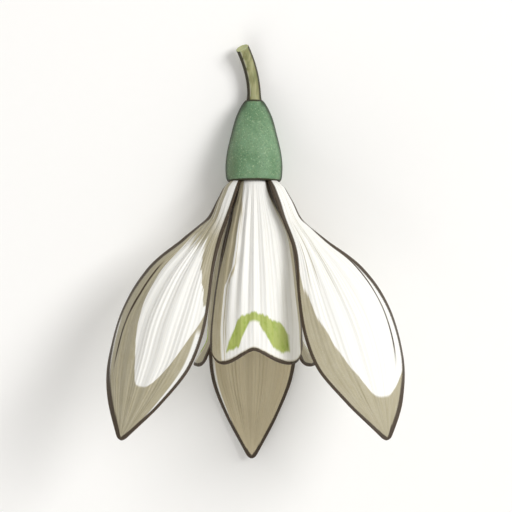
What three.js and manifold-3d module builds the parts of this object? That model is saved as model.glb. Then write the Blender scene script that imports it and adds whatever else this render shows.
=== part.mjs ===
// A snowdrop flower with a short piece of its stalk, cut and laid on its back.
//
// Each piece is worked out in the flower's own frame: x to the right, y up the stalk, z out of the side
// that looks up. y = 0 is the lower end of the ovary, where the tepals leave. Azimuths go round y from z
// towards x. The whole flower is then tipped, so that it rests on the ovary and on the back outer tepal.
// Lengths are in millimetres and angles in degrees.

import * as THREE from "three";
import { mergeVertices } from "three/addons/utils/BufferGeometryUtils.js";
import Module from "manifold-3d";

// Driving dimensions

const OVARY_LENGTH = 7.4;
const OVARY_RADIUS = 2.57;
const STALK_RADIUS = 0.62;
const STALK_LENGTH = 4.3;
const OUTER_LENGTH = 24;
const INNER_LENGTH = 16.9;
const CUP_RADIUS = 4.25;
const STYLE_LENGTH = 9.6;
const ANTHER_LENGTH = 5.4;

// From the foot of the stalk to its cut end: to the left, up the flower's axis and off the surface
const STALK_REACH = new THREE.Vector3(-1.05, STALK_LENGTH, 1.35);

const BLADE = 0.6; // thickness of a tepal
const CLEARANCE = 0.3; // between pieces that grow from each other
const TIP_UP = 14; // how far the flower's lower end is raised from the surface that it lies on

// Where the six tepals leave the ovary
const OUTER_CLAW = { radius: 2.05, half: 0.82 };
const INNER_CLAW = { radius: 1.62, halfSpan: 27 };

// How tightly an outer tepal is curved across its width, as a radius: rolled at the claw, then a
// shallow spoon from a share of its length on
const CURL = { claw: 2.2, spoon: 8.5, from: 0.35 };

// Ridges that run down a tepal, as raised lines in its middle surface
const OUTER_RIDGES = { count: 6, height: 0.09 };
const INNER_RIDGES = { count: 8, height: 0.12 };

// Squares across and down a tepal, and sides of the round pieces
const OUTER_GRID = { columns: 12, rows: 26 };
const INNER_GRID = { columns: 16, rows: 16 };
const SIDES = { ovary: 28, disc: 24, style: 10, stamen: 8 };
const STALK_GRID = { steps: 12, curveSegments: 7 };

const NEAR = 1e-3; // a small step, for slopes
const rad = THREE.MathUtils.degToRad;
const ease = (t) => THREE.MathUtils.smoothstep(t, 0, 1);
const alongStalk = new THREE.Vector3(0, 1, 0);

// A smooth curve through values given at equal steps of t from 0 to 1.
function along(values) {
  const curve = new THREE.SplineCurve(values.map((value, i) => new THREE.Vector2(i, value)));
  return (t) => curve.getPoint(THREE.MathUtils.clamp(t, 0, 1)).y;
}

// Radius of the ovary at equal steps from its lower end up to the stalk.
const ovaryProfile = [
  [0.93, 0], [0.97, 0.03], [0.99, 0.1], [1, 0.18], [0.985, 0.27], [0.94, 0.38], [0.87, 0.49],
  [0.79, 0.6], [0.72, 0.7], [0.63, 0.8], [0.5, 0.9], [0.38, 0.97], [0.3, 1],
].map(([radius, height]) => new THREE.Vector2(radius * OVARY_RADIUS, height * OVARY_LENGTH));

// The surface that the flower lies on, as a height over it at a point of the flower's frame.
const up = new THREE.Vector3(0, -Math.sin(rad(TIP_UP)), Math.cos(rad(TIP_UP)));
const AXIS_HEIGHT = Math.max(
  ...ovaryProfile.map((p) => p.x * Math.cos(rad(TIP_UP)) + p.y * Math.sin(rad(TIP_UP))),
);
const heightOf = (point) => point.dot(up) + AXIS_HEIGHT;

// Moves a point that would be lower than a given height up to it.
function pressed(point, least) {
  return point.addScaledVector(up, Math.max(0, least - heightOf(point)));
}

// Outer tepals

const below = (shares) => along(shares.map((share) => share * OUTER_LENGTH));
const leftTepal = {
  // distance of the midrib from the flower's axis, at equal steps from the claw to the tip
  out: along([OUTER_CLAW.radius, 3.5, 5.85, 8.25, 10.2, 11.4, 12.55, 13.7]),
  // distance of the midrib below the ovary
  down: below([0.023, 0.121, 0.246, 0.375, 0.53, 0.688, 0.842, 0.987]),
  half: along([OUTER_CLAW.half, 1.25, 2.25, 3.8, 4.75, 4.4, 2.6, 0.1]),
  // how far its face turns back towards the viewer
  turn: 30,
};
const rightTepal = {
  out: along([OUTER_CLAW.radius, 3.7, 6.05, 8.3, 10.35, 11.75, 12.8, 13.7]),
  down: leftTepal.down,
  half: along([OUTER_CLAW.half, 1.25, 2.1, 3.8, 4.95, 4.75, 2.8, 0.1]),
  turn: 30,
};
const backTepal = {
  out: along([OUTER_CLAW.radius, 3.25, 4.2, 5.25, 6.4, 7.35, 7.9, 8.2]),
  down: below([0.023, 0.133, 0.271, 0.413, 0.554, 0.704, 0.858, 1.015]),
  half: along([OUTER_CLAW.half, 1, 1.8, 3.05, 4.05, 3.8, 2.25, 0.1]),
  turn: 0,
};

const curlRadius = (v) => THREE.MathUtils.lerp(CURL.claw, CURL.spoon, ease(v / CURL.from));

// A point of the middle surface: u runs across from -1 to 1, v down from the claw to the tip.
function outerTepal({ out, down, half, turn }, azimuth) {
  const midrib = (v) =>
    new THREE.Vector3(0, -down(v), out(v)).applyAxisAngle(alongStalk, rad(azimuth));
  return (u, v) => {
    const run = midrib(v + NEAR).sub(midrib(v - NEAR)).normalize();
    const face = new THREE.Vector3(0, 0, 1)
      .applyAxisAngle(alongStalk, rad(azimuth - Math.sign(azimuth) * turn * ease(v / 0.5)))
      .projectOnPlane(run)
      .normalize();
    const across = new THREE.Vector3().crossVectors(face, run);
    const bend = (u * half(v)) / curlRadius(v);
    const ridge = Math.cos(OUTER_RIDGES.count * Math.PI * u) * (1 - u * u) * Math.sin(Math.PI * v);
    const point = midrib(v)
      .addScaledVector(across, curlRadius(v) * Math.sin(bend))
      .addScaledVector(face, OUTER_RIDGES.height * ridge - curlRadius(v) * (1 - Math.cos(bend)));
    return pressed(point, BLADE / 2);
  };
}

// Inner tepals: strips of a bell round the flower's axis, with two lobes and a notch at the end

const bellRadius = along([INNER_CLAW.radius, 2.12, 2.85, 3.42, 3.82, 4.08, CUP_RADIUS]);
const bellSpan = along([INNER_CLAW.halfSpan, 38, 49, 55, 57, 57, 48]);

const FLARE_FROM = 0.8; // where the bell starts to flare, as a share of its length
const frontTepal = { length: INNER_LENGTH, flare: 0.2 };
const lowerTepal = { length: 0.965 * INNER_LENGTH, flare: 0.9 };
const NOTCH = { depth: 0.085, width: 0.42 };
const LOBE_ROUNDING = 0.1;

function innerTepal({ length, flare }, azimuth) {
  return (u, v) => {
    const notch = NOTCH.depth * Math.exp(-Math.pow(Math.abs(u) / NOTCH.width, 1.6));
    const reach = length * (1 - notch - LOBE_ROUNDING * u ** 4);
    const down = CLEARANCE + v * (reach - CLEARANCE);
    const t = down / length;
    const ridge = Math.cos(INNER_RIDGES.count * Math.PI * u) * (1 - u * u) * Math.sin(Math.PI * v);
    const flared = flare * ease((t - FLARE_FROM) / (1 - FLARE_FROM));
    const radius = bellRadius(t) + flared + INNER_RIDGES.height * ridge;
    const swing = rad(azimuth + u * bellSpan(t));
    return new THREE.Vector3(radius * Math.sin(swing), -down, radius * Math.cos(swing));
  };
}

// A closed blade of even thickness round a middle surface, split into triangles alike on both faces.
function blade(middle, { columns, rows }) {
  const outside = [];
  const inside = [];
  for (let j = 0; j <= rows; j++) {
    for (let i = 0; i <= columns; i++) {
      const u = (2 * i) / columns - 1;
      const v = j / rows;
      const across = middle(u + NEAR, v).sub(middle(u - NEAR, v));
      const run = middle(u, v + NEAR).sub(middle(u, v - NEAR));
      const normal = run.cross(across).normalize();
      const point = middle(u, v);
      outside.push(pressed(point.clone().addScaledVector(normal, BLADE / 2), 0));
      inside.push(point.addScaledVector(normal, -BLADE / 2));
    }
  }
  const at = (i, j) => j * (columns + 1) + i;
  const under = (k) => k + outside.length;
  const index = [];
  const quad = (a, b, c, d) => index.push(a, b, c, a, c, d);
  for (let j = 0; j < rows; j++) {
    for (let i = 0; i < columns; i++) {
      const [a, b, c, d] = [at(i, j), at(i, j + 1), at(i + 1, j + 1), at(i + 1, j)];
      quad(a, b, c, d);
      index.push(under(a), under(c), under(b), under(a), under(d), under(c));
    }
  }
  for (let i = 0; i < columns; i++) {
    quad(at(i + 1, 0), under(at(i + 1, 0)), under(at(i, 0)), at(i, 0));
    quad(at(i, rows), under(at(i, rows)), under(at(i + 1, rows)), at(i + 1, rows));
  }
  for (let j = 0; j < rows; j++) {
    quad(at(0, j), under(at(0, j)), under(at(0, j + 1)), at(0, j + 1));
    quad(at(columns, j + 1), under(at(columns, j + 1)), under(at(columns, j)), at(columns, j));
  }
  return new THREE.BufferGeometry()
    .setFromPoints([...outside, ...inside])
    .setIndex(index);
}

// Ovary and stalk

function ovary() {
  const onAxis = [new THREE.Vector2(0, 0), new THREE.Vector2(0, OVARY_LENGTH)];
  return new THREE.LatheGeometry([onAxis[0], ...ovaryProfile, onAxis[1]], SIDES.ovary);
}

// The stalk leaves straight, then leans to the left and arches up off the surface.
function stalk() {
  const foot = new THREE.Vector3(0, OVARY_LENGTH + CLEARANCE, 0);
  const at = (x, y, z) => new THREE.Vector3(x, y, z).multiply(STALK_REACH).add(foot);
  const route = new THREE.CubicBezierCurve3(
    at(0, 0, 0),
    at(0, 0.34, 0),
    at(1 / 3, 0.67, 1 / 3),
    at(1, 1, 1),
  );
  const section = new THREE.Shape().absarc(0, 0, STALK_RADIUS, 0, 2 * Math.PI);
  return new THREE.ExtrudeGeometry(section, { extrudePath: route, ...STALK_GRID });
}

// Stamens and style

const STAMENS = 6;
const DISC = { outer: 1.05, inner: 0.56, height: 0.5 };
const STAMEN_RING = 0.82;
const FILAMENT = { radius: 0.17, length: 1.4 };
const ANTHER_RADIUS = 0.33;
const STYLE_RADIUS = 0.26;
const STAMEN_LEAN = 0.8; // towards the style

// Radius of an anther against the distance from its base, as shares of its radius and length
const ANTHER_PROFILE = [[0.03, 1], [0.3, 0.86], [0.7, 0.62], [0.95, 0.36], [1, 0.16], [0.8, 0.04]];

function turned(profile, sides) {
  const points = profile.map(([radius, height]) => new THREE.Vector2(radius, height));
  return new THREE.LatheGeometry(points, sides);
}

// A stamen hangs from the disc: a short filament, then a long anther that narrows to a point.
function stamen(index) {
  const root = -DISC.height / 2;
  const start = root - FILAMENT.length;
  const shape = turned(
    [
      [0, start - ANTHER_LENGTH],
      ...ANTHER_PROFILE.map(([r, s]) => [r * ANTHER_RADIUS, start - s * ANTHER_LENGTH]),
      [FILAMENT.radius, start],
      [FILAMENT.radius, root],
      [0, root],
    ],
    SIDES.stamen,
  );
  return shape
    .rotateX(rad(STAMEN_LEAN))
    .translate(0, -CLEARANCE, STAMEN_RING)
    .rotateY(rad((360 / STAMENS) * index));
}

function disc() {
  const { outer, inner, height } = DISC;
  const section = [[inner, -height], [outer, -height], [outer, 0], [inner, 0], [inner, -height]];
  return turned(section, SIDES.disc).translate(0, -CLEARANCE, 0);
}

function style() {
  const length = STYLE_LENGTH;
  return turned(
    [
      [0, -length],
      [0.4 * STYLE_RADIUS, -length],
      [0.75 * STYLE_RADIUS, -0.97 * length],
      [0.6 * STYLE_RADIUS, -0.9 * length],
      [0.8 * STYLE_RADIUS, -0.5 * length],
      [STYLE_RADIUS, -0.1 * length],
      [STYLE_RADIUS, -CLEARANCE],
      [0, -CLEARANCE],
    ],
    SIDES.style,
  );
}

// Joining closed pieces in one solid

const wasm = await Module();
wasm.setup();

function positions(geometry) {
  const bare = new THREE.BufferGeometry().setAttribute("position", geometry.getAttribute("position"));
  if (geometry.index) bare.setIndex(geometry.index);
  return mergeVertices(bare, 1e-4);
}

function joined(pieces) {
  const solids = pieces.map((piece) => {
    const { attributes, index } = positions(piece);
    return new wasm.Manifold(
      new wasm.Mesh({
        numProp: 3,
        vertProperties: new Float32Array(attributes.position.array),
        triVerts: new Uint32Array(index.array),
      }),
    );
  });
  const { vertProperties, triVerts } = solids.reduce((all, next) => all.add(next)).getMesh();
  return new THREE.BufferGeometry()
    .setAttribute("position", new THREE.BufferAttribute(vertProperties, 3))
    .setIndex(new THREE.BufferAttribute(triVerts, 1));
}

// Colours and finishes

const skin = (color, roughness) => new THREE.MeshStandardMaterial({ color, roughness });
const petalWhite = skin(0xf1efe6, 0.6);
const cupWhite = skin(0xe9ead6, 0.6);
const ovaryGreen = skin(0x719170, 0.45);
const stalkGreen = skin(0x969868, 0.5);
const antherYellow = skin(0xd9a441, 0.7);
const stylePale = skin(0xdfe3c0, 0.5);

// The flower

const flower = new THREE.Group();

function grow(name, geometry, material) {
  const mesh = new THREE.Mesh(geometry, material);
  geometry.computeVertexNormals();
  mesh.name = name;
  flower.add(mesh);
}

const outer = (shape, azimuth) => blade(outerTepal(shape, azimuth), OUTER_GRID);
const inner = (shape, azimuth) => blade(innerTepal(shape, azimuth), INNER_GRID);

grow("pedicel", stalk(), stalkGreen);
grow("ovary", ovary(), ovaryGreen);
grow("outer_tepal_left", outer(leftTepal, -60), petalWhite);
grow("outer_tepal_right", outer(rightTepal, 60), petalWhite);
grow("outer_tepal_back", outer(backTepal, 181.5), petalWhite);
grow("inner_tepal_front", inner(frontTepal, 0), cupWhite);
grow("inner_tepal_left", inner(lowerTepal, -120), cupWhite);
grow("inner_tepal_right", inner(lowerTepal, 120), cupWhite);
const stamens = Array.from({ length: STAMENS }, (_, i) => stamen(i));
grow("stamens", joined([disc(), ...stamens]), antherYellow);
grow("style", style(), stylePale);

// Laid down, with the origin at the middle of the surface that it covers
flower.rotation.x = -rad(TIP_UP);
flower.position.z = AXIS_HEIGHT;
flower.updateMatrixWorld(true);
const covered = new THREE.Box3().setFromObject(flower, true).getCenter(new THREE.Vector3());
flower.position.x = -covered.x;
flower.position.y = -covered.y;

const part = new THREE.Group();
part.add(flower);

export default part;
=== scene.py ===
# %% [markdown]
# # A snowdrop, cut and laid on a table
#
# The flower hangs from a thin stalk while it grows. Here it is cut and lies on its back, so the camera
# looks down on it. The solids of the frame say where each piece is. This lesson gives every piece the
# shape of a living petal, ovary or stamen, and a finish for its skin.

# %% The frame
import math

import bpy
import numpy as np
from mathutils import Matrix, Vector


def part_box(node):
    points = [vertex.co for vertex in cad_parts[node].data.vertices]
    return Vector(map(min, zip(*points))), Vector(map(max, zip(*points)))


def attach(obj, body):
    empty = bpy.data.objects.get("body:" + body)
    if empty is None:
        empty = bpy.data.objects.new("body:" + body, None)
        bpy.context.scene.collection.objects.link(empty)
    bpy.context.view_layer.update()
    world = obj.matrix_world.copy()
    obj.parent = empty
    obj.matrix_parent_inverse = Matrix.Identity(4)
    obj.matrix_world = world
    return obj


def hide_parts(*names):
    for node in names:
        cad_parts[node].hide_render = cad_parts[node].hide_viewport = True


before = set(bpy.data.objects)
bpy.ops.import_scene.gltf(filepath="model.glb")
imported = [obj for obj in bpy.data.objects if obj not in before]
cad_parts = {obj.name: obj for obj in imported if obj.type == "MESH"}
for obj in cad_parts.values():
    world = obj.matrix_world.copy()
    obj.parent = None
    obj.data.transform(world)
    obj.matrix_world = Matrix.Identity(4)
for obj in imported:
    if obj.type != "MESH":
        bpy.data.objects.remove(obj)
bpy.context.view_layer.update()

MM = 0.001

# %% [markdown]
# ## Where the flower lies
#
# The petals are easiest to describe in the flower's own frame: x to the right, y up the stalk, z out of
# the side that shows, with y = 0 at the ovary's lower end. The flower is tipped by 14 degrees, because
# it rests on the ovary and on the back petal. The ovary's box gives the place of that frame's origin.
# Lengths are in millimetres until a mesh is made.

# %% The flower's own frame
TIP_UP = math.radians(14)
OVARY_LENGTH = 7.4
OVARY_RADIUS = 2.57
OVARY_PROFILE = np.array([
    (0.93, 0), (0.97, 0.03), (0.99, 0.1), (1, 0.18), (0.985, 0.27), (0.94, 0.38), (0.87, 0.49),
    (0.79, 0.6), (0.72, 0.7), (0.63, 0.8), (0.5, 0.9), (0.38, 0.97), (0.3, 1),
]) * (OVARY_RADIUS, OVARY_LENGTH)

UP = np.array([0, -math.sin(TIP_UP), math.cos(TIP_UP)])
AXIS_HEIGHT = float((OVARY_PROFILE @ (math.cos(TIP_UP), math.sin(TIP_UP))).max())
ovary_low, ovary_high = (np.array(corner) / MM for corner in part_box("ovary"))
ORIGIN = np.array([
    (ovary_low[0] + ovary_high[0]) / 2,
    ovary_low[1] + OVARY_PROFILE[0, 0] * math.sin(TIP_UP),
    AXIS_HEIGHT,
])


print("the flower's origin lies at", ORIGIN.round(3), "mm")

# %% From the flower's frame to the table
def rotated(first, second, angle):
    """Two coordinates after a turn in their plane: numbers, arrays or, later, the wires of a finish."""
    cos, sin = math.cos(angle), math.sin(angle)
    return first * cos - second * sin, first * sin + second * cos


def laid_down(points):
    """Points of the flower's frame, in millimetres, as metres in the frame of the part."""
    x, y, z = np.moveaxis(np.asarray(points, float), -1, 0)
    y, z = rotated(y, z, -TIP_UP)
    return (np.stack([x, y, z], -1) + ORIGIN) * MM


def pressed(points, least):
    """Points that would be lower than a height over the table, moved up to it."""
    short = np.maximum(0, least - (points @ UP + AXIS_HEIGHT))
    return points + short[..., None] * UP


print("the ovary's upper end lies at", laid_down([0, OVARY_LENGTH, 0]).round(4), "m")

# %% [markdown]
# ## Curves for growing things
#
# A petal's outline has no straight line in it. A few widths at equal steps, joined by a smooth curve that
# passes through each of them, say it well. The same curves made the solids, so the finer pieces keep
# their form.

# %% Smooth curves
def along(values):
    """A smooth curve through values at equal steps of t from 0 to 1."""
    p = np.array(values, float)
    last = len(p) - 1

    def curve(t):
        place = np.clip(t, 0, 1) * last
        i = np.minimum(place.astype(int), last - 1)
        f = place - i
        a, b, c, d = p[np.maximum(i - 1, 0)], p[i], p[i + 1], p[np.minimum(i + 2, last)]
        return b + 0.5 * f * (c - a + f * (2 * a - 5 * b + 4 * c - d + f * (3 * (b - c) + d - a)))

    return curve


def ease(t):
    """0 below 0, 1 above 1 and smooth between them."""
    t = np.clip(t, 0, 1)
    return t * t * (3 - 2 * t)


print("a curve through 0, 1 and 0 is", along([0, 1, 0])(np.array(0.25)), "high at a quarter of its way")

# %% Directions
def unit(vectors):
    return vectors / np.linalg.norm(vectors, axis=-1, keepdims=True)


def round_the_axis(azimuth, radius, down):
    """A point at an azimuth in degrees from z towards x, at a radius and a depth below the ovary."""
    swing = np.radians(azimuth)
    return np.stack([radius * np.sin(swing), -down, radius * np.cos(swing)], -1)


print("azimuth 90 points to", round_the_axis(90, 1, 0).round(3))

# %% [markdown]
# ## The outer petals
#
# A snowdrop has three long outer petals. Each is a spoon: a narrow claw at the ovary, then a wide hollow
# blade. Its midrib is a curve in distance from the axis against depth, and its width is bent round a
# circle across the midrib. The two side petals turn their backs a little towards the camera, and the
# right one is a little fuller. The back one is pressed flat where it lies on the table.
#
# A subdivision modifier over a few points could give this form. Every point is worked out instead,
# because the veins have to run from the claw to the tip along the petal.

# %% Outlines of the outer petals
OUTER_LENGTH = 24
OUTER_CLAW_RADIUS = 2.05
OUTER_CLAW_HALF = 0.82

SIDE = {
    "down": along(np.array([0, 0.121, 0.246, 0.375, 0.53, 0.688, 0.842, 0.987]) * OUTER_LENGTH),
    "turn": 30,
    "shoulder": 0.34,
}
LEFT = {
    **SIDE,
    "out": along([OUTER_CLAW_RADIUS, 3.5, 5.85, 8.25, 10.2, 11.4, 12.55, 13.7]),
    "half": along([OUTER_CLAW_HALF, 1.25, 2.25, 3.8, 4.75, 4.4, 2.6, 0.1]),
}
RIGHT = {
    **SIDE,
    "out": along([OUTER_CLAW_RADIUS, 3.7, 6.05, 8.3, 10.35, 11.75, 12.8, 13.7]),
    "half": along([OUTER_CLAW_HALF, 1.25, 2.1, 3.8, 4.95, 4.75, 2.8, 0.1]),
}
BACK = {
    "out": along([OUTER_CLAW_RADIUS, 3.25, 4.2, 5.25, 6.4, 7.35, 7.9, 8.2]),
    "down": along(np.array([0, 0.133, 0.271, 0.413, 0.554, 0.704, 0.858, 1.015]) * OUTER_LENGTH),
    "half": along([OUTER_CLAW_HALF, 1, 1.8, 3.05, 4.05, 3.8, 2.25, 0.1]),
    "turn": 0,
    "shoulder": 0,
}
widest = 2 * RIGHT["half"](np.linspace(0, 1, 101)).max()
print("the right outer petal is", widest.round(2), "mm wide")

# %% The middle surface of an outer petal
NEAR = 1e-3
CLEAR_OF_TABLE = 0.3
CLAW_CURL = 2.2
BLADE_CURL = 8.5
BLADE_STARTS = 0.35
TURN_ENDS = 0.5
SHOULDER_RISE = 0.05
SHOULDER_ENDS = 0.09
SHOULDER_FADE = 0.1
BLUNT = 0.24
BLUNT_TIP = 0.2
BLUNT_REACH = 2.5


def curl_radius(v):
    """The circle that a petal is bent round, which is small at the claw."""
    return CLAW_CURL + (BLADE_CURL - CLAW_CURL) * ease(v / BLADE_STARTS)


def outer_surface(shape, azimuth):
    """The middle of an outer petal: u runs across from -1 to 1, v down from the claw to the tip."""

    def shoulder(v):
        """The claw stands out a little just below the ovary."""
        rise = ease(v / SHOULDER_RISE)
        return shape["shoulder"] * rise * (1 - ease((v - SHOULDER_ENDS) / SHOULDER_FADE))

    def midrib(v):
        return round_the_axis(azimuth, shape["out"](v) + shoulder(v), shape["down"](v))

    def surface(u, v):
        v = np.clip(v, 0, 1)
        run = unit(midrib(v + NEAR) - midrib(v - NEAR))
        facing = azimuth - np.sign(azimuth) * shape["turn"] * ease(v / TURN_ENDS)
        face = round_the_axis(facing, np.ones_like(v), np.zeros_like(v))
        face = unit(face - (face * run).sum(-1, keepdims=True) * run)
        across = np.cross(face, run)
        radius = curl_radius(v)
        to_tip = (1 - v) * OUTER_LENGTH
        blunt = BLUNT * (1 - np.exp(-to_tip / BLUNT_TIP)) * np.exp(-to_tip / BLUNT_REACH)
        bend = u * (shape["half"](v) + shoulder(v) + blunt) / radius
        fall = radius * (1 - np.cos(bend))
        point = midrib(v) + across * (radius * np.sin(bend))[..., None] - face * fall[..., None]
        return pressed(point, CLEAR_OF_TABLE)

    return surface


print("an outer petal is bent round", CLAW_CURL, "mm at its claw and", BLADE_CURL, "mm in its blade")

# %% The relief of an outer petal
OUTER_RIDGES = 6
OUTER_RIDGE_HEIGHT = 0.09
OUTER_VEINS = 22
OUTER_VEIN_HEIGHT = 0.022
MARGIN_WAVE = 0.16
DENTS = 0.07


def outer_relief(phase):
    """How far the skin stands out: broad ridges, fine veins between them and a wave at the margin."""

    def relief(u, v):
        inside = (1 - u * u) * np.sin(np.pi * v)
        ridges = OUTER_RIDGE_HEIGHT * np.cos(OUTER_RIDGES * np.pi * u) * inside
        bowed = OUTER_VEINS * np.pi * u + 0.8 * np.sin(5 * v + phase)
        veins = OUTER_VEIN_HEIGHT * np.cos(bowed) * inside
        wave = MARGIN_WAVE * np.abs(u) ** 3 * np.sin(9.5 * v + phase + u)
        wave = wave * ease(v / 0.3) * ease((1 - v) / 0.2)
        dents = DENTS * np.sin(7 * v + 2.3 * u + phase) * np.sin(3 * u - 4 * v + phase) * inside
        return ridges + veins + wave + dents

    return relief


print("its ridges stand", OUTER_RIDGE_HEIGHT, "mm out, and its fine veins", OUTER_VEIN_HEIGHT, "mm")

# %% [markdown]
# ## The inner petals
#
# The three inner petals are short and stand together as a bell. Each is a strip of that bell with two
# lobes and a notch at its end, and with furrows that run down it. One bell could be cut in three, but
# each is a surface of its own here, because they differ: the front one keeps close to the bell and laps
# over its neighbours, and the two behind it flare at the mouth.

# %% The bell and its strips
INNER_LENGTH = 16.9
INNER_CLAW_RADIUS = 1.62
INNER_CLAW_SPAN = 27
BELL_RADIUS = along([INNER_CLAW_RADIUS, 2.12, 2.85, 3.42, 3.82, 4.08, 4.25])
BELL_SPAN = along([INNER_CLAW_SPAN, 38, 49, 55, 57, 57, 48])

FRONT = {
    "length": 1.005 * INNER_LENGTH,
    "rounding": 0.125,
    "flare": 0.3,
    "wider": 5,
    "lift": 0.24,
    "lean": 0,
}
BEHIND = {
    "length": 0.965 * INNER_LENGTH,
    "rounding": 0.05,
    "flare": 1.5,
    "wider": 1.5,
    "lift": 0,
    "lean": 0.045,
}
print("the bell is", INNER_LENGTH, "mm deep")

# %% The middle surface of an inner petal
NOTCH_DEPTH = 0.085
NOTCH_WIDTH = 0.42
LOBE_WAVE = 0.1
BELL_OPENS = 0.3
FLARE_STARTS = 0.83
CLAW_WIDER = 24
RIGHT_WIDER = 9
RIGHT_LIFT = 0.2
FULL_AT = 0.3
FULL_REACH = 0.2
FULL_WIDER = 9
FULL_LIFT = 0.3


def inner_surface(shape, azimuth, phase):
    """The middle of an inner petal: u runs across from -1 to 1, v down from the claw to the lobes."""
    to_front = -np.sign(azimuth)

    def tuck(u):
        """A petal behind flares less at the side that the front one covers."""
        covered = to_front * u
        return (1 - 5 * shape["lean"] * (1 - covered)) * (1 - 0.6 * ease((covered - 0.5) / 0.5))

    def surface(u, v):
        v = np.clip(v, 0, 1)
        notch = NOTCH_DEPTH * np.exp(-np.abs(u / NOTCH_WIDTH) ** 1.6)
        length = shape["length"] * (1 + shape["lean"] * to_front * u)
        down = v * length * (1 - notch - shape["rounding"] * u**8)
        t = down / length
        wave = LOBE_WAVE * np.sin(5 * u + phase) * ease((t - 0.7) / 0.3)
        flare = shape["flare"] * ease((t - FLARE_STARTS) / 0.19) * tuck(u)
        radius = BELL_RADIUS(t) + flare + wave
        opened = ease(t / BELL_OPENS)
        span = BELL_SPAN(t) + shape["wider"] * opened + CLAW_WIDER * (1 - ease(t / 0.4))
        lift = shape["lift"] * np.ones_like(u)
        if shape is FRONT:
            fuller = np.exp(-(((t - FULL_AT) / FULL_REACH) ** 2))
            span = span + (RIGHT_WIDER * opened + FULL_WIDER * fuller) * ease(u / 0.9)
            lift = lift + (RIGHT_LIFT + FULL_LIFT * fuller) * ease((u - 0.45) / 0.3)
        return round_the_axis(azimuth + u * span, radius + lift * opened, down)

    return surface


print("the notch is", round(NOTCH_DEPTH * INNER_LENGTH, 2), "mm deep")

# %% The relief of an inner petal
INNER_RIDGES = 8
INNER_RIDGE_HEIGHT = 0.12
INNER_VEIN_HEIGHT = 0.018


def inner_relief(phase):
    """How far the furrows and fine veins of an inner petal stand out."""

    def relief(u, v):
        inside = (1 - u * u) * np.sin(np.pi * v)
        ridges = INNER_RIDGE_HEIGHT * np.cos(INNER_RIDGES * np.pi * u)
        veins = INNER_VEIN_HEIGHT * np.cos(3 * INNER_RIDGES * np.pi * u + phase)
        return (ridges + veins) * inside

    return relief


print("an inner petal has", INNER_RIDGES, "ridges,", INNER_RIDGE_HEIGHT, "mm high")

# %% [markdown]
# ## From a surface to a petal
#
# A petal is a sheet with two faces. A Solidify modifier could thicken it, but a real one is thickest along
# the midrib and thin at the margin, so both faces are worked out here: the same squares, half the
# thickness to either side of the middle, with a rim that joins them. The relief is added along the normal
# of the smooth middle, so that narrow veins never fold the sheet over. Two maps go with the mesh, so that
# a finish can follow the veins: one holds u and v, and the other the distance to the margin in
# millimetres.

# %% A sheet with two faces
THICK = 0.42
THIN = 0.2


def thickness_at(u, v):
    return THIN + (THICK - THIN) * (1 - np.abs(u) ** 2.5) * (1 - 0.75 * ease((v - 0.1) / 0.9))


def sheet_faces(rows_and_columns):
    """Squares of the outer face, of the inner face behind it, and of the rim between the two."""
    count = rows_and_columns[0] * rows_and_columns[1]
    grid = np.arange(count).reshape(rows_and_columns)
    a, b, c, d = grid[:-1, :-1], grid[1:, :-1], grid[1:, 1:], grid[:-1, 1:]
    squares = np.stack([a, b, c, d], -1).reshape(-1, 4)
    edge = np.concatenate([grid[:-1, 0], grid[-1, :-1], grid[:0:-1, -1], grid[0, :0:-1]])
    following = np.roll(edge, -1)
    rim = np.stack([edge, edge + count, following + count, following], -1)
    return squares, squares[:, ::-1] + count, rim


print("a petal is", THICK, "mm thick at the claw's midrib and", THIN, "mm at its margin")

# %% A petal as a mesh
def new_piece(name, mesh):
    mesh.shade_smooth()
    piece = bpy.data.objects.new(name, mesh)
    bpy.context.collection.objects.link(piece)
    return piece


def vertex_of_each_corner(mesh):
    corner = np.empty(len(mesh.loops), int)
    mesh.loops.foreach_get("vertex_index", corner)
    return corner


def petal_mesh(name, surface, relief, margin, columns, rows):
    """A closed petal from its middle surface. margin gives the distance to the outline."""
    u, v = np.meshgrid(np.linspace(-1, 1, columns + 1), np.linspace(0, 1, rows + 1))
    middle = surface(u, v)
    across = surface(u + NEAR, v) - surface(u - NEAR, v)
    run = surface(u, v + NEAR) - surface(u, v - NEAR)
    normal = unit(np.cross(run, across))
    half = thickness_at(u, v)[..., None] / 2
    raised = relief(u, v)[..., None]
    outside = pressed(middle + normal * (raised + half), 0)
    inside = pressed(middle + normal * (raised - half), THIN)

    faces = sheet_faces(u.shape)
    mesh = bpy.data.meshes.new(name)
    points = laid_down(np.concatenate([outside.reshape(-1, 3), inside.reshape(-1, 3)]))
    mesh.from_pydata(points.tolist(), [], np.concatenate(faces).tolist())
    corner = vertex_of_each_corner(mesh) % u.size
    for layer, values in (("veins", ((u + 1) / 2, v)), ("margin", (margin(u, v), v))):
        flat = np.stack([value.ravel() for value in values], -1)
        mesh.uv_layers.new(name=layer).uv.foreach_set("vector", flat[corner].ravel())
    slots = np.repeat([0, 1, 2], [len(part) for part in faces])
    mesh.polygons.foreach_set("material_index", slots)
    return new_piece(name, mesh)


print("each petal has a slot for its outer face, its inner face and its rim")

# %% The outer petals
OUTER_GRID = (160, 180)
TIP_STRETCH = 1.1


def outer_petal(name, shape, azimuth, phase):
    """An outer petal at its place round the axis. The phase makes its waves its own."""

    def margin(u, v):
        to_tip = (1 - v) * OUTER_LENGTH * TIP_STRETCH
        return np.minimum((1 - np.abs(u)) * shape["half"](v), to_tip)

    return petal_mesh(name, outer_surface(shape, azimuth), outer_relief(phase), margin, *OUTER_GRID)


left_outer = outer_petal("left_outer_petal", LEFT, -60, 0.4)
right_outer = outer_petal("right_outer_petal", RIGHT, 60, 2.9)
back_outer = outer_petal("back_outer_petal", BACK, 181.5, 4.6)
print("each outer petal has", len(back_outer.data.polygons), "faces")

# %% The inner petals
INNER_GRID = (144, 110)


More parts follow.
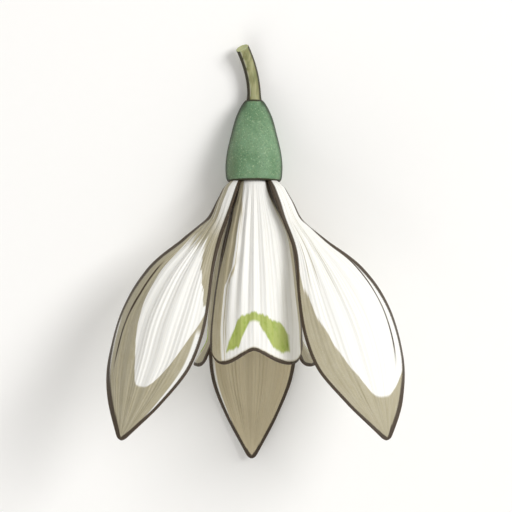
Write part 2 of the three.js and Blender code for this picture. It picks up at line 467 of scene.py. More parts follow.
def inner_petal(name, shape, azimuth, phase):
    """An inner petal at its place round the axis."""

    def margin(u, v):
        width = BELL_RADIUS(v) * np.radians(BELL_SPAN(v))
        return np.minimum((1 - np.abs(u)) * width, (1 - v) * INNER_LENGTH)

    surface = inner_surface(shape, azimuth, phase)
    return petal_mesh(name, surface, inner_relief(phase), margin, *INNER_GRID)


front_inner = inner_petal("front_inner_petal", FRONT, 0, 0.9)
left_inner = inner_petal("left_inner_petal", BEHIND, -120, 2.2)
right_inner = inner_petal("right_inner_petal", BEHIND, 120, 3.7)
print("each inner petal has", len(front_inner.data.polygons), "faces")

# %% [markdown]
# ## Ovary and stalk
#
# The ovary is the green swelling that will hold the seeds. It is round, with three chambers that show as
# faint lobes and six thin seams. It is made as rings round an axis, because the radius can then change
# with both height and direction. The stalk is a tube of rings along the same bent line as its solid, a
# little wider where it grows out of the ovary, and its cut end is a slightly hollow face.

# %% A skin over rings
def ring_mesh(name, rings):
    """A closed skin over rings of points, with a map of how far round and how far along a point is."""
    count, sides = rings.shape[:2]
    grid = np.arange(count * sides).reshape(count, sides)
    ahead = np.roll(grid, -1, axis=1)
    faces = np.stack([grid[:-1], ahead[:-1], ahead[1:], grid[1:]], -1).reshape(-1, 4).tolist()
    first, last = count * sides, count * sides + 1
    faces += [(first, b, a) for a, b in zip(grid[0], ahead[0])]
    faces += [(last, a, b) for a, b in zip(grid[-1], ahead[-1])]
    points = np.concatenate([rings.reshape(-1, 3), [rings[0].mean(0)], [rings[-1].mean(0)]])
    mesh = bpy.data.meshes.new(name)
    points = laid_down(pressed(points, 0))
    mesh.from_pydata(points.tolist(), [], [tuple(int(k) for k in face) for face in faces])
    corner = vertex_of_each_corner(mesh)
    turn = np.concatenate([np.tile(np.arange(sides) / sides, count), [0, 0]])[corner]
    squares = turn[:4 * sides * (count - 1)].reshape(-1, 4)
    closes_the_ring = squares.max(1) > 0.9
    squares[closes_the_ring[:, None] & (squares < 0.1)] = 1
    height = np.append(np.repeat(np.linspace(0, 1, count), sides), [0, 1])[corner]
    mesh.uv_layers.new(name="turn").uv.foreach_set("vector", np.stack([turn, height], -1).ravel())
    return new_piece(name, mesh)


print("a skin ends in a fan of triangles")

# %% Rings round the axis
def circle(sides):
    turn = np.arange(sides) / sides * 2 * np.pi
    return turn, np.stack([np.sin(turn), np.zeros(sides), np.cos(turn)], -1)


def profile_rings(radius, height, sides, swell=None):
    """Rings round the flower's axis. swell(turn, height) gives how much each point stands out."""
    turn, around = circle(sides)
    out = np.repeat(np.asarray(radius, float)[:, None], sides, 1)
    if swell is not None:
        out = out * swell(turn[None, :], np.asarray(height)[:, None])
    rings = around[None] * out[..., None]
    rings[..., 1] += np.asarray(height)[:, None]
    return rings


print("three points of a ring:", circle(3)[1].round(2).tolist())

# %% The ovary's lobes and seams
LOBES = 3
LOBE_HEIGHT = 0.008
SEAMS = 6
SEAM_DEPTH = 0.012
SEAM_WIDTH = 0.16


def ovary_swell(turn, height):
    """Faint lobes and thin seams, which fade towards both ends."""
    share = np.sin(np.pi * np.clip(height / OVARY_LENGTH, 0, 1))
    lobes = LOBE_HEIGHT * np.cos(LOBES * turn + np.pi)
    seams = -SEAM_DEPTH * np.exp(-(np.sin(SEAMS * turn / 2) / SEAM_WIDTH) ** 2)
    return 1 + share * (lobes + seams)


print("the seams are", round(SEAM_DEPTH * OVARY_RADIUS, 3), "mm deep")

# %% The ovary
OVARY_RINGS = 110
OVARY_SIDES = 120
LOWER_EDGE = [(0.86, 0), (0.915, 0.01), (0.955, 0.03), (0.978, 0.06)]
CAP_RADIUS = 0.6
CAP_RISE = 0.05


def resampled(profile, count):
    """A profile's points joined by a smooth curve and taken at equal steps."""
    t = np.linspace(0, 1, count)
    return along(profile[:, 0])(t), along(profile[:, 1])(t)


lower_edge = np.array(LOWER_EDGE) * (OVARY_RADIUS, OVARY_LENGTH)
radius, height = resampled(np.concatenate([lower_edge, OVARY_PROFILE[2:]]), OVARY_RINGS)
# A shallow hollow comes before these rings, and a small cap inside the stalk's foot after them.
radius = np.concatenate([[0.2, 0.8 * radius[0], 0.96 * radius[0]], radius, [CAP_RADIUS]])
height = np.concatenate([[0.08, 0.05, 0.01], height, [OVARY_LENGTH + CAP_RISE]])
ovary = ring_mesh("green_ovary", profile_rings(radius, height, OVARY_SIDES, ovary_swell))
print("ovary:", len(ovary.data.polygons), "faces")

# %% The stalk's line
STALK_LENGTH = 4.3
STALK_GAP = 0.3
STALK_FOOT = OVARY_LENGTH + STALK_GAP
STALK_RINGS = 60
ROOT_RINGS = 6
ROOT_DEPTH = 0.15


def bezier(a, b, c, d, t):
    t = t[:, None]
    return a * (1 - t) ** 3 + 3 * b * t * (1 - t) ** 2 + 3 * c * t * t * (1 - t) + d * t**3


def stalk_line():
    """The middle of the stalk: from inside the ovary, then bent to the left and up to the cut."""
    handles = np.array([
        (0, STALK_FOOT, 0),
        (0, STALK_FOOT + 0.34 * STALK_LENGTH, 0),
        (-0.35, STALK_FOOT + 0.67 * STALK_LENGTH, 0.45),
        (-1.05, STALK_FOOT + STALK_LENGTH, 1.35),
    ])
    line = bezier(*handles, np.linspace(0, 1, STALK_RINGS))
    root_y = np.linspace(OVARY_LENGTH - ROOT_DEPTH, STALK_FOOT, ROOT_RINGS, endpoint=False)
    return np.concatenate([root_y[:, None] * (0, 1, 0), line])


print("the stalk's cut end lies at", stalk_line()[-1].round(2), "mm")

# %% The stalk
STALK_RADIUS = 0.62
STALK_SIDES = 48
STALK_INSET = 0.02
STALK_RIBS = 9
RIB_HEIGHT = 0.018
COLLAR = 0.16
COLLAR_REACH = 0.35
CUT_RINGS = ((0.97, -0.012), (0.85, -0.01), (0.6, 0.03), (0.25, 0.05))


def stalk_rings():
    """Ribbed rings along the stalk's line, and smaller ones that sink into the cut face."""
    line = stalk_line()
    run = unit(np.gradient(line, axis=0))
    right = unit(np.cross(run, [0, 0, 1]))
    front = np.cross(right, run)
    turn, _ = circle(STALK_SIDES)
    above = line[:, 1] - OVARY_LENGTH
    collar = COLLAR * np.exp(-np.maximum(above, 0) / COLLAR_REACH)
    thick = STALK_RADIUS * (1 + collar) - STALK_INSET
    ribbed = thick[:, None] * (1 + RIB_HEIGHT * np.cos(STALK_RIBS * turn))[None]
    across, out = np.cos(turn)[None, :, None], np.sin(turn)[None, :, None]
    ring = right[:, None] * across + front[:, None] * out
    rings = line[:, None] + ring * ribbed[..., None]
    end, direction = line[-1], run[-1]
    cut = [end + (rings[-1] - end) * share - direction * sink for share, sink in CUT_RINGS]
    return np.concatenate([rings, np.array(cut)])[:, ::-1]


stalk = ring_mesh("green_stalk", stalk_rings())
print("stalk:", len(stalk.data.polygons), "faces")

# %% [markdown]
# ## Stamens and style
#
# Six stamens hang from a small disc inside the bell. Each has a short thread and a long anther of two
# halves, with a groove between them, that narrows to a bristle. A groove is only a ring that isn't round,
# so the same rings make it. The style is the thin column between them. They show from the mouth of the
# bell, and in the gaps between the claws.

# %% One stamen
STAMENS = 6
STAMEN_RING = 0.82
STAMEN_LEAN = math.radians(0.8)
STAMEN_SWAY = 0.05
STAMEN_SIDES = 20
ANTHER_LENGTH = 5.4
ANTHER_RADIUS = 0.33
ANTHER_RINGS = 46
ANTHER_FLAT = 0.2
ANTHER_GROOVE = 0.12
THREAD_LENGTH = 1.4
THREAD_RADIUS = 0.17 * 0.85
THREAD_ROOT = 0.1
THREAD_RINGS = 8
DISC_HEIGHT = 0.5
anther_girth = along([0.5, 0.97, 1, 0.94, 0.85, 0.7, 0.52, 0.33, 0.16, 0.06])


def stamen_rings(index):
    """Rings of one stamen, from its thread down to the bristle."""
    turn, around = circle(STAMEN_SIDES)
    start = -STALK_GAP - DISC_HEIGHT / 2 - THREAD_LENGTH
    t = np.linspace(0, 1, ANTHER_RINGS)
    thread_y = np.linspace(-STALK_GAP - THREAD_ROOT, start, THREAD_RINGS, endpoint=False)
    down = np.concatenate([thread_y, start - t * ANTHER_LENGTH])
    girth = np.concatenate([np.full(THREAD_RINGS, THREAD_RADIUS), ANTHER_RADIUS * anther_girth(t)])
    lobed = np.concatenate([np.zeros(THREAD_RINGS), ease(t / 0.08) * ease((1 - t) / 0.25)])[:, None]
    halves = 1 - ANTHER_FLAT * lobed * np.cos(turn) ** 2 - ANTHER_GROOVE * lobed * np.cos(2 * turn) ** 4
    rings = around[None] * (girth[:, None] * halves)[..., None]
    rings[..., 1] = down[:, None]
    sway = STAMEN_SWAY * np.sin(1.3 * index) * ease(-down / 7)
    rings[..., 0] += sway[:, None]
    x, y, z = np.moveaxis(rings, -1, 0)
    y, z = rotated(y, z, STAMEN_LEAN)
    z, x = rotated(z + STAMEN_RING, x, 2 * math.pi * index / STAMENS)
    return np.stack([x, y, z], -1)[:, ::-1]


print("a stamen is", round(THREAD_LENGTH + ANTHER_LENGTH, 2), "mm long")

# %% The stamens on their disc
DISC_SIDES = 48
DISC_PROFILE = [(0.6, 0), (1.0, 0.02), (1.05, 0.3), (1.0, 0.45), (0.75, 0.56), (0.56, 0.5)]


def joined(name, pieces):
    """Several pieces as one."""
    with bpy.context.temp_override(active_object=pieces[0], selected_editable_objects=pieces):
        bpy.ops.object.join()
    pieces[0].name = pieces[0].data.name = name
    return pieces[0]


disc_radius, disc_down = np.array(DISC_PROFILE).T
disc_rings = profile_rings(disc_radius, -STALK_GAP - disc_down, DISC_SIDES)[:, ::-1]
disc = ring_mesh("stamen_disc", disc_rings)
six = [ring_mesh("stamen", stamen_rings(index)) for index in range(STAMENS)]
stamens = joined("yellow_stamens", [disc, *six])
print("stamens:", len(stamens.data.polygons), "faces")

# %% The style
STYLE_LENGTH = 9.6
STYLE_RADIUS = 0.26
STYLE_ROOT = 0.25
STYLE_INSET = 0.05
STYLE_SIDES = 20
STYLE_RINGS = 50
style_girth = along([1, 1, 0.95, 0.9, 0.82, 0.74, 0.66, 0.62, 0.7, 0.55])

t = np.linspace(0, 1, STYLE_RINGS)
style_y = -STALK_GAP + STYLE_ROOT - t * (STYLE_LENGTH - STYLE_INSET)
style_rings = profile_rings(STYLE_RADIUS * style_girth(t), style_y, STYLE_SIDES)
style = ring_mesh("pale_style", style_rings[:, ::-1])
print("style:", len(style.data.polygons), "faces")

# %% [markdown]
# ## Wires for finishes
#
# A finish is a small graph of nodes. Written out node by node it is hard to read, so a socket is wrapped
# in a class whose plus, minus and times add the Math nodes. One method makes any other kind of node.

# %% A wire
def sum_of(operation):
    """A method that adds one Math node, fed by the wire itself and by what else the sum needs."""
    return lambda wire, *others: wire.finish.node(
        "ShaderNodeMath", {"operation": operation}, wire, *others
    )


class Wire:
    """A value that comes out of a node, with the sums that the finishes use."""

    def __init__(self, finish, socket):
        self.finish, self.socket = finish, socket

    __add__ = __radd__ = sum_of("ADD")
    __mul__ = __rmul__ = sum_of("MULTIPLY")
    __sub__ = sum_of("SUBTRACT")
    __truediv__ = sum_of("DIVIDE")
    __pow__ = sum_of("POWER")
    __abs__ = sum_of("ABSOLUTE")
    sine = sum_of("SINE")
    cosine = sum_of("COSINE")
    at_least = sum_of("MAXIMUM")
    at_most = sum_of("MINIMUM")

    def __rsub__(self, other):
        return self.finish.node("ShaderNodeMath", {"operation": "SUBTRACT"}, other, self)

    def above(self, low, high):
        """0 below low, 1 above high and smooth between them."""
        settings = {"interpolation_type": "SMOOTHSTEP"}
        return self.finish.node("ShaderNodeMapRange", settings, self, low, high)

    def below(self, low, high):
        return 1 - self.above(low, high)


print("each sign in an expression on wires, such as 1 - mask, adds one Math node")

# %% A finish
class Finish:
    """A material with one Principled BSDF, whose constants are set on the shader itself."""

    def __init__(self, name, **constants):
        self.material = bpy.data.materials.new(name)
        self.material.use_nodes = True
        self.tree = self.material.node_tree
        self.shader = self.tree.nodes["Principled BSDF"]
        self.feed_by_name(self.shader, constants)

    def feed(self, socket, value):
        if isinstance(value, Wire):
            self.tree.links.new(value.socket, socket)
        else:
            socket.default_value = value

    def feed_by_name(self, node, values):
        for name, value in values.items():
            self.feed(node.inputs[name.replace("_", " ")], value)

    def node(self, kind, settings=None, *values, output=0, **named):
        """Any node: its settings, then the sockets that these leave in use, by order or by name."""
        node = self.tree.nodes.new(kind)
        for setting, value in (settings or {}).items():
            setattr(node, setting, value)
        for socket, value in zip([socket for socket in node.inputs if socket.enabled], values):
            self.feed(socket, value)
        self.feed_by_name(node, named)
        return Wire(self, node.outputs[output])

    def mix(self, share, first, second):
        """A colour between two, by a share from 0 to 1."""
        return self.node("ShaderNodeMix", {"data_type": "RGBA"}, share, first, second, output=2)

    def map(self, name):
        """The two numbers of a map that the mesh carries."""
        both = self.node("ShaderNodeUVMap", {"uv_map": name})
        return (self.node("ShaderNodeSeparateXYZ", None, both, output=k) for k in (0, 1))

    def place(self, x, y, z=0.0):
        return self.node("ShaderNodeCombineXYZ", None, x, y, z)

    def everywhere(self):
        """The place of each point in the frame of the part, in metres."""
        return self.node("ShaderNodeNewGeometry", None, output=0)

    def noise(self, place, scale=1.0, detail=2.0, roughness=0.6):
        return self.node(
            "ShaderNodeTexNoise", None, Vector=place, Scale=scale, Detail=detail, Roughness=roughness
        )

    def bump(self, height, strength, distance):
        return self.node("ShaderNodeBump", None, Strength=strength, Distance=distance, Height=height)

    def done(self, **wires):
        self.feed_by_name(self.shader, wires)
        return self.material


def dress(piece, *materials):
    for material in materials:
        piece.data.materials.append(material)


print("a finish can mix colours, read maps, and make noise and bumps")

# %% [markdown]
# ## The skin of a petal
#
# The petals are white, with a painted beige shade that spreads from the claws in streaks, follows the
# veins and fills the blade's edge and tip, and leaves a bright window in the middle. A thin brown line
# runs along the margin. A picture could be wrapped round each petal, but all of this follows the veins, so
# it is
# worked out from the two maps of its mesh: u and v, and the distance to the margin. Noise that is
# stretched down the petal gives the streaks.

# %% Colours of the petals
def srgb(red, green, blue):
    """A colour as a screen's 0 to 255, turned into the linear numbers that a shader takes."""
    parts = [part / 255 for part in (red, green, blue)]
    return tuple(((part + 0.055) / 1.055) ** 2.4 if part > 0.04 else part / 12.92 for part in parts) + (1,)


WHITE = srgb(244, 243, 238)
# The beige is the colour of the shade painted on the white petals. It also tints their fine veins and the
# grains of their cut margin.
BEIGE = srgb(167, 158, 128)
# Two lighter copies of that painted shade make up for real shadow: one for the back petal under the bell,
# one for the front petal's left band, which faces away from the light.
BEIGE_LIT = srgb(206, 193, 160)
BEIGE_LIGHTER_IN_SHADOW = srgb(184, 174, 142)
BROWN = srgb(60, 45, 25)
LEAF = srgb(172, 184, 98)
LEAF_DEEP = srgb(146, 168, 60)
print("as linear numbers the beige is", [round(part, 3) for part in BEIGE[:3]])

# %% Veins and streaks
FINE_LINES = 80


def petal_noise(finish, u, v, across, down, **settings):
    """Noise with so many waves for a step of 1 across the petal, and so many down it."""
    return finish.noise(finish.place(u * across, v * down), **settings)


def veined(finish, u, v):
    """The height of the fine lines, and broad and fine streaks from 0 to 1 that run along them."""
    streaks = petal_noise(finish, u, v, 14, 1.6, detail=3.0)
    fine = petal_noise(finish, u, v, 60, 5)
    lines = (u * FINE_LINES + streaks * 3).sine()
    return lines, streaks, fine


def green_stripes(u, v):
    """A faint green stripe on each ridge inside the bell."""
    reach = v.above(0.2, 0.4) * v.below(0.82, 0.95) * abs(u).below(0.75, 0.95)
    return (u * (INNER_RIDGES * math.pi)).cosine().above(-0.2, 0.9) * reach


print("a petal has about", round(FINE_LINES / math.pi), "fine lines across it")

# %% Lines along the margins
LINE = 0.3
OUTER_SIDE_WIDER = 0.3
CLAW_WIDER_LINE = 0.6
LEFT_CLAW_SLIMMER = 0.17
FRONT_CLAW_SLIMMER = 0.18


def plain_line(side, v):
    """The width of a margin's line in millimetres."""
    return LINE


def wide_line(side, v):
    """A side petal's line is wider at the petal's outer side, and most of all by the claw."""
    by_the_claw = side.above(0.1, 0.5) * v.below(0.12, 0.24)
    return LINE + side.above(0.0, 0.8) * OUTER_SIDE_WIDER + by_the_claw * CLAW_WIDER_LINE


def left_line(side, v):
    """The left petal's line is slim where its claw stands beside the bell."""
    beside_the_bell = side.below(-0.5, -0.1) * v.below(0.1, 0.22)
    return wide_line(side, v) - beside_the_bell * LEFT_CLAW_SLIMMER


def front_line(side, v):
    """The front petal's line is slim beside the left petal's claw."""
    return LINE - side.below(-0.5, -0.2) * v.below(0.15, 0.3) * FRONT_CLAW_SLIMMER


print("the lines are", LINE, "to", LINE + OUTER_SIDE_WIDER + CLAW_WIDER_LINE, "mm wide")

# %% One skin for every petal
SHADE = 0.92
LINE_EDGE = (0.75, 1.08)
LINE_STRENGTH = 0.985


def petal_finish(
    name, window, mirrored=1, shade=SHADE, line=plain_line, vein=None, mark=None, stripes=0.0, shade_colour=BEIGE
):
    """A petal's skin: white, with beige shade painted outside the window. window gives the bright part
    from (side, v, streaks), side being u or its mirror.
    """
    finish = Finish(
        name,
        Subsurface_Weight=0.15,
        Subsurface_Scale=0.0005,
        Subsurface_Radius=(1, 0.95, 0.85),
        Coat_Weight=0.06,
        Coat_Roughness=0.35,
    )
    across, v = finish.map("veins")
    margin, _ = finish.map("margin")
    u = across * 2 - 1
    side = u * mirrored
    lines, streaks, fine = veined(finish, u, v)
    mottle = petal_noise(finish, u, v, 9, 16, detail=4.0, roughness=0.65)
    grain = petal_noise(finish, u, v, 90, 260)

    # Painted shade: beige outside the window, as strong as shade, mottled and grainy.
    beige = (1 - window(side, v, streaks)) * shade * (0.86 + 0.3 * mottle)
    beige = beige * (1 - grain.above(0.6, 0.7) * 0.25)
    colour = finish.mix(beige, WHITE, shade_colour)
    colour = finish.mix(lines.above(0.3, 1.0) * 0.1 + fine.above(0.55, 0.8) * 0.08, colour, BEIGE)
    if mark is not None:
        green = finish.mix(mottle.above(0.45, 0.75), LEAF, LEAF_DEEP)
        colour = finish.mix(mark(u, v, streaks), colour, green)
    if stripes:
        colour = finish.mix(green_stripes(u, v) * stripes, colour, LEAF)
    if vein is not None:
        colour = finish.mix(vein(side, v, streaks), colour, BROWN)
    edge = margin / line(side, v) + (streaks + grain - 1) * 0.5
    colour = finish.mix(edge.below(*LINE_EDGE) * LINE_STRENGTH, colour, BROWN)
    bump = finish.bump(lines * 0.5 + fine, 0.35, 0.00006)
    return finish.done(Base_Color=colour, Roughness=0.5 + 0.15 * fine, Normal=bump)


print("each petal's skin has", FINE_LINES, "waves and its own window")

# %% [markdown]
# ## Veins, windows and marks
#
# Each side petal has one long dark vein near its outer margin, and a white window with a round lower end.
# The front petal is white but for a band of painted beige shade at its left, and carries the green mark
# above its notch.
# They could be painted on a mask by hand. Here each one is a product of smooth steps in the side and in
# v, because such an edge is sharp at any size and one number moves it. The streaks are added before the
# step, and that feathers the edge along the veins.

# %% The long dark veins
VEIN_WAVE = 0.03
VEIN_EDGE = 0.022


def long_vein(off, v, streaks, half, starts, ends):
    """A dark line where off is 0, between two places down the petal."""
    wavy = off + (streaks - 0.5) * VEIN_WAVE
    return abs(wavy).below(half, half + VEIN_EDGE) * v.above(*starts) * v.below(*ends)


def left_vein(side, v, streaks):
    """The left petal's vein nears the outer margin towards the tip."""
    line = (v * 0.55 + 0.325).at_least(0.6)
    return long_vein(side - line, v, streaks, 0.012, (0.37, 0.42), (0.7, 0.77))


def right_vein(side, v, streaks):
    """The right petal's vein is close to the outer margin and leaves it towards the tip."""
    return long_vein(side + v * 0.5 - 1.02, v, streaks, 0.014, (0.27, 0.33), (0.66, 0.76))


print("a long vein fades over", VEIN_EDGE, "of half a petal's width")

# %% A window with a round end
FEATHER = 0.5
WINDOW_EDGE = (0.86, 1.0)


def feathered(streaks):
    return (streaks - 0.5) * FEATHER


def rounded_window(side, v, inner, outer, start, end):
    """A bright part from an inner to an outer side, with a round lower end from start to end."""
    middle = (inner + outer) * 0.5
    half = (outer - inner) * 0.5
    off = abs(side - middle) / half
    past = (v - start).at_least(0.0) / (end - start)
    return (off**4 + past**3).below(*WINDOW_EDGE)


print("a window fades out from", WINDOW_EDGE[0], "to", WINDOW_EDGE[1], "of its reach")

# %% The left petal's window
LEFT_END = (0.62, 0.8075)


def left_window(side, v, streaks):
    """The window, with white tongues above it, a white strip at the claw and one at each margin."""
    feather = feathered(streaks)
    outer = 0.8 - v * 0.82 + feather * 0.12
    by_the_claw = (0.56 - v).above(0.0, 0.3) * 0.55 + (0.56 - v).above(0.0, 0.1) * feather * 0.7
    inner = ((v - 0.465) * 1.6).at_least(by_the_claw) - 1.02
    window = rounded_window(side, v, inner, outer, *LEFT_END)
    starts = (v + feather * (0.9 - v * 0.6)).above(0.26, 0.31)
    tongues = streaks.above(0.58, 0.64) * v.below(0.2, 0.34)
    claw = (side + feather * 0.3).below(-0.36, -0.22) * side.above(-0.94, -0.84) * v.below(0.12, 0.26)
    rim = abs(side).above(0.84, 0.88) * abs(side).below(0.95, 0.97) * v.above(0.56, 0.6)
    white_parts = tongues + rim + claw * (1 - streaks.above(0.52, 0.62) * v.above(0.08, 0.16))
    return (window * starts).at_least(white_parts.at_most(1.0))


print("the left petal's window ends", LEFT_END[1], "of the way down")

# %% Windows of the other outer petals
RIGHT_END = (0.6, 0.85)


def right_window(side, v, streaks):
    """The window reaches up to the claw, and beige streaks of painted shade run into it."""
    inner = ((v - 0.3) * 1.3).at_least(0.0) - 1.0 + feathered(streaks) * (0.9 - v)
    outer = 1.06 - (v - 0.72).at_least(0.0) * 3.2
    window = rounded_window(side, v, inner, outer, *RIGHT_END)
    streak = streaks.above(0.57, 0.63) * v.below(0.3, 0.55) * side.below(-0.1, 0.35)
    return window * (1 - streak * 0.85)


def back_window(side, v, streaks):
    """The back petal is painted with beige shade all over but for a white strip along its right margin."""
    return side.above(0.86, 0.9) * v.above(0.6, 0.7)


def no_window(side, v, streaks):
    """Inside, a petal is white with a few streaks of painted beige shade."""
    return streaks.above(0.35, 0.7)


print("the right petal's window ends", RIGHT_END[1], "of the way down")

# %% Windows of the inner petals
def front_window(side, v, streaks):
    """White between a band of painted beige shade at the left, with a white streak in it, and the right
    margin.
    """
    feather = feathered(streaks)
    upper = v.above(0.03, 0.2) * v.below(0.45, 0.6)
    left = (side + feather * 0.6 - upper * 0.17).above(-0.62, -0.56)
    streak = abs(side + 0.66 - upper * 0.16 + feather * 0.2).below(0.015, 0.04) * v.above(0.15, 0.25)
    right = (side + feather * 0.2 - v * 0.25).below(0.66, 0.7)
    lobe = v.below(0.97, 0.99)
    return (left * right + streak) * lobe


def behind_window(side, v, streaks):
    """side is 1 at the margin next to the front petal, which is shaded."""
    return streaks.above(0.5, 0.6) * side.below(0.5, 0.75)


print("the petals behind the front one are bright only in streaks")

# %% The green mark
MARK_FROM = 0.78
MARK_WAVE = 0.06
LEFT_STROKE = 0.155
RIGHT_STROKE = 0.27
RIDGE_HALF = 0.36


def green_mark(u, v, streaks):
    """Two green strokes that part above the notch like a roof. The right one is wider."""
    wobble = (streaks - 0.5) * MARK_WAVE
    down = v - MARK_FROM
    left = (abs(u + down * 1.75 + LEFT_STROKE + wobble) / LEFT_STROKE).below(0.8, 1.1)
    right_half = RIGHT_STROKE - abs(down - 0.06) * 1.1
    right = (abs(u - down * 1.45 - 0.28 + wobble) / right_half).below(0.85, 1.1)
    ridge = (abs(u - 0.12) / RIDGE_HALF).below(0.8, 1.1) * v.below(0.815, 0.84)
    ends = (v + wobble - u * u * 0.04).above(0.765, 0.785) * (v + wobble).below(0.93, 0.95)
    return left.at_least(right).at_least(ridge) * ends


print("the green mark starts", MARK_FROM, "of the way down")

# %% The cut of a margin
def rim_finish():
    """The cut of a petal's margin is brown like the line beside it, with beige grains."""
    finish = Finish("rim of a petal", Subsurface_Weight=0.1, Subsurface_Scale=0.0003)
    grain = petal_noise(finish, *finish.map("veins"), 40, 120)
    colour = finish.mix(grain.above(0.55, 0.8) * 0.6, BROWN, BEIGE)
    return finish.done(Base_Color=colour, Roughness=0.55 + 0.15 * grain)


rim = rim_finish()
print("made", rim.name)

# %% The petals get their skins
lining = petal_finish("lining of an outer petal", no_window, shade=0.3)
bell_lining = petal_finish("lining of an inner petal", no_window, shade=0.3, stripes=0.75)
left_skin = petal_finish("left outer petal", left_window, -1, line=left_line, vein=left_vein)
right_skin = petal_finish("right outer petal", right_window, line=wide_line, vein=right_vein)
back_skin = petal_finish("back outer petal", back_window, shade=1.0, shade_colour=BEIGE_LIT)
front_skin = petal_finish(
    "front inner petal", front_window, line=front_line, mark=green_mark, shade_colour=BEIGE_LIGHTER_IN_SHADOW
)
behind_left_skin = petal_finish("left inner petal", behind_window, mark=green_mark)
behind_right_skin = petal_finish("right inner petal", behind_window, -1, mark=green_mark)

# The back petal shows its inner face, so its skin and its lining change places.
dress(left_outer, left_skin, lining, rim)
dress(right_outer, right_skin, lining, rim)
dress(back_outer, lining, back_skin, rim)
dress(front_inner, front_skin, bell_lining, rim)
dress(left_inner, behind_left_skin, bell_lining, rim)
dress(right_inner, behind_right_skin, bell_lining, rim)
print("each petal has", len(front_inner.material_slots), "skins")

# %% [markdown]
# ## The green skins
#
# The ovary is a dull blue-green with a waxy bloom and lighter specks, and painted shade greys its left
# side. Painted shade deepens the green softly along both flanks, and a dark rim closes it at either end.
# The stalk is olive, with thin lines along it, a pale line of painted highlight, dark flanks of painted
# shade and a pale cut face. Neither has veins to follow, so their noise is laid out in the flower's own
# frame, and it runs on over the whole skin without a seam. The anthers are orange-yellow and grainy with
# pollen.

# %% The ovary's skin
def from_the_axis(finish):
    """Sideways, lengthways and outwards in the flower's frame, in millimetres."""
    place = finish.everywhere()
    x, y, z = (finish.node("ShaderNodeSeparateXYZ", None, place, output=k) / MM for k in range(3))
    x, y, z = (value - float(start) for value, start in zip((x, y, z), ORIGIN))
    return x, *rotated(y, z, TIP_UP)


BARK = srgb(56, 52, 36)
# MOSS is the deep green of the shade painted along the ovary's flanks.
MOSS = srgb(42, 54, 36)
FLANK = (0.45, 1.3)
LOWER_RIM = (0.1, 0.22)
UPPER_RIM = (OVARY_LENGTH - 0.22, OVARY_LENGTH - 0.1)


def ovary_finish():
    finish = Finish(
        "skin of the ovary", Subsurface_Weight=0.1, Subsurface_Scale=0.0004, Specular_IOR_Level=0.2
    )
    x, y, z = from_the_axis(finish)
    place = finish.place(x, y, z)
    patches = finish.noise(place, 0.42, 3.0)
    specks = finish.noise(place, 6.5, roughness=0.7)
    bloom = finish.noise(place, 2.6, 3.0)
    colour = finish.mix(patches.above(0.35, 0.65), srgb(103, 136, 101), srgb(120, 151, 117))
    # Painted shade: the left side, away from the light, is greyer.
    colour = finish.mix((x + patches).below(-1.9, -0.6) * 0.5, colour, srgb(108, 118, 92))
    colour = finish.mix(specks.above(0.58, 0.68) * 0.55, colour, srgb(176, 196, 160))
    colour = finish.mix(specks.below(0.34, 0.42) * 0.55, colour, srgb(80, 108, 84))
    # Painted shade: the green darkens to moss along both flanks, like a dark outline.
    flank_shade = abs(z + (bloom - 0.5) * 0.4).below(*FLANK) * abs(x).above(0.45, 0.7)
    uneven = y + (bloom - 0.5) * 0.1
    rims = uneven.below(*LOWER_RIM).at_least(uneven.above(*UPPER_RIM))
    colour = finish.mix(flank_shade * 0.97, colour, MOSS)
    colour = finish.mix(rims * 0.98, colour, BARK)
    bump = finish.bump(specks, 0.4, 0.00005)
    return finish.done(Base_Color=colour, Roughness=0.42 + 0.2 * bloom, Normal=bump)


dress(ovary, ovary_finish())
print("the ovary's flanks fade over", round(FLANK[1] - FLANK[0], 2), "mm")

# %% The stalk's skin
CUT_FACE = (0.945, 0.955)
HIGHLIGHT_LINE_AT = 0.62


def stalk_finish():
    finish = Finish(
        "skin of the stalk", Subsurface_Weight=0.1, Subsurface_Scale=0.0003, Specular_IOR_Level=0.2
    )
    x, y, z = from_the_axis(finish)
    lines = finish.noise(finish.place(x * 2.6, y * 0.3, z * 2.6))
    turn, height = finish.map("turn")
    # Painted shade: both flanks darken to brown, like a dark outline.
    flanks = (turn * (4 * math.pi)).cosine().above(-0.45, 0.15)
    # Painted highlight: a pale line down one side of the stalk.
    pale = abs(turn - HIGHLIGHT_LINE_AT).below(0.02, 0.05) * lines.above(0.4, 0.5)
    colour = finish.mix(lines.above(0.35, 0.65), srgb(128, 129, 88), srgb(162, 161, 120))
    colour = finish.mix(pale * 0.5, colour, srgb(226, 224, 200))
    colour = finish.mix(flanks * 0.98, colour, BARK)
    colour = finish.mix(height.above(*CUT_FACE) * 0.9, colour, srgb(186, 190, 140))
    bump = finish.bump(lines, 0.4, 0.00004)
    return finish.done(Base_Color=colour, Roughness=0.45 + 0.15 * lines, Normal=bump)


dress(stalk, stalk_finish())
print("the cut face starts", CUT_FACE[0], "of the way along the stalk's rings")

# %% Skins of the stamens and the style
def pollen_finish():
    finish = Finish("anthers")
    grains = finish.noise(finish.everywhere(), 9000.0)
    colour = finish.mix(grains.above(0.35, 0.65), srgb(232, 164, 56), srgb(250, 208, 112))
    bump = finish.bump(grains, 0.5, 0.00003)
    return finish.done(Base_Color=colour, Roughness=0.7 + 0.15 * grains, Normal=bump)


def style_finish():
    finish = Finish("style", Subsurface_Weight=0.2, Subsurface_Scale=0.0003)
    cells = finish.noise(finish.everywhere(), 3000.0, roughness=0.5)
    colour = finish.mix(cells.above(0.3, 0.7), srgb(214, 220, 180), srgb(236, 238, 214))
    return finish.done(Base_Color=colour, Roughness=0.45 + 0.1 * cells)


dress(stamens, pollen_finish())
dress(style, style_finish())
print("the stamens and the style have their skins")

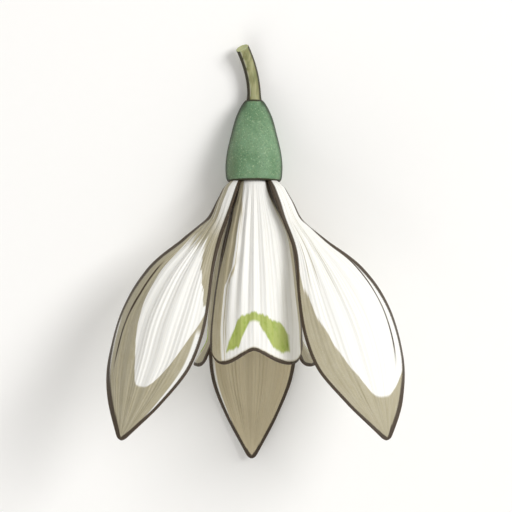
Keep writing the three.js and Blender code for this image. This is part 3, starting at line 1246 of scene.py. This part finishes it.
# %% [markdown]
# ## Each piece stands for its solid
#
# The solids stay in the frame for weight and collision. A finer piece is shown in the place of each one,
# and all of them ride on the one body, because a flower has no joints.

# %% Pieces and solids
STANDS_FOR = (
    (left_outer, "outer_tepal_left", "outer_petal"),
    (right_outer, "outer_tepal_right", "outer_petal"),
    (back_outer, "outer_tepal_back", "outer_petal"),
    (front_inner, "inner_tepal_front", "inner_petal"),
    (left_inner, "inner_tepal_left", "inner_petal"),
    (right_inner, "inner_tepal_right", "inner_petal"),
    (ovary, "ovary", "ovary_skin"),
    (stalk, "pedicel", "stalk_skin"),
    (stamens, "stamens", "anther"),
    (style, "style", "style"),
)
for piece, node, slot in STANDS_FOR:
    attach(piece, "root")
    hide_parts(node)
print(len(STANDS_FOR), "pieces ride on the flower")

# %% [markdown]
# ## Table, light and camera
#
# The table is a plain pale sheet. A sun would draw hard shadows on it, so a large soft light stands to
# the right of the stalk, and a bright surround fills the shadows. The camera is far away with a long
# lens, because a drawing has no perspective. It looks at the flower five degrees from square.

# %% The table
TABLE_SIZE = 3


def table_finish():
    finish = Finish("pale table", Roughness=0.8)
    grain = finish.noise(finish.everywhere(), 900.0, 3.0, 0.5)
    colour = finish.mix(grain * 0.04, srgb(250, 249, 247), srgb(225, 222, 214))
    return finish.done(Base_Color=colour)


bpy.ops.mesh.primitive_plane_add(size=TABLE_SIZE)
table = bpy.context.object
table.name = "table"
dress(table, table_finish())
print("the table is", TABLE_SIZE, "m wide")

# %% The light
SURROUND_COLOUR = (1, 0.99, 0.97, 1)
SURROUND_STRENGTH = 0.5


def soft_light(name, place, size, power):
    """A square light that looks at the middle of the flower."""
    light = bpy.data.lights.new(name, "AREA")
    light.size, light.energy = size, power
    lamp = bpy.data.objects.new(name, light)
    lamp.location = place
    lamp.rotation_euler = (Vector((0, 0, 0)) - Vector(place)).to_track_quat("-Z", "Y").to_euler()
    bpy.context.collection.objects.link(lamp)


soft_light("window_light", place=(0.34, 0.22, 0.4), size=0.25, power=2.1)
soft_light("fill_light", place=(-0.25, -0.45, 0.35), size=0.5, power=1.1)

world = bpy.data.worlds.new("surround")
world.use_nodes = True
background = world.node_tree.nodes["Background"]
background.inputs["Color"].default_value = SURROUND_COLOUR
background.inputs["Strength"].default_value = SURROUND_STRENGTH
bpy.context.scene.world = world
bpy.context.scene.view_settings.view_transform = "Standard"
print("two lights and a surround")

# %% The camera
PICTURE = 512
MM_PER_PIXEL = 0.09
FLOWER_AXIS_X = 254
OVARY_END_Y = 182.3
FROM_SQUARE = math.radians(5)
LENS = 600
SENSOR = 36

lean = TIP_UP - FROM_SQUARE
towards_camera = np.array([0, math.sin(lean), math.cos(lean)])
picture_up = np.array([0, math.cos(lean), -math.sin(lean)])
to_right = (PICTURE / 2 - FLOWER_AXIS_X) * MM_PER_PIXEL
to_bottom = (PICTURE / 2 - OVARY_END_Y) * MM_PER_PIXEL
target = ORIGIN + (to_right, 0, 0) - picture_up * to_bottom
distance = LENS / SENSOR * PICTURE * MM_PER_PIXEL

lens = bpy.data.cameras.new("camera")
lens.lens, lens.sensor_width = LENS, SENSOR
camera = bpy.data.objects.new("camera", lens)
camera.location = (target + towards_camera * distance) * MM
camera.rotation_euler = (-lean, 0, 0)
bpy.context.collection.objects.link(camera)
bpy.context.scene.camera = camera
print("the camera is", round(distance), "mm from the flower")
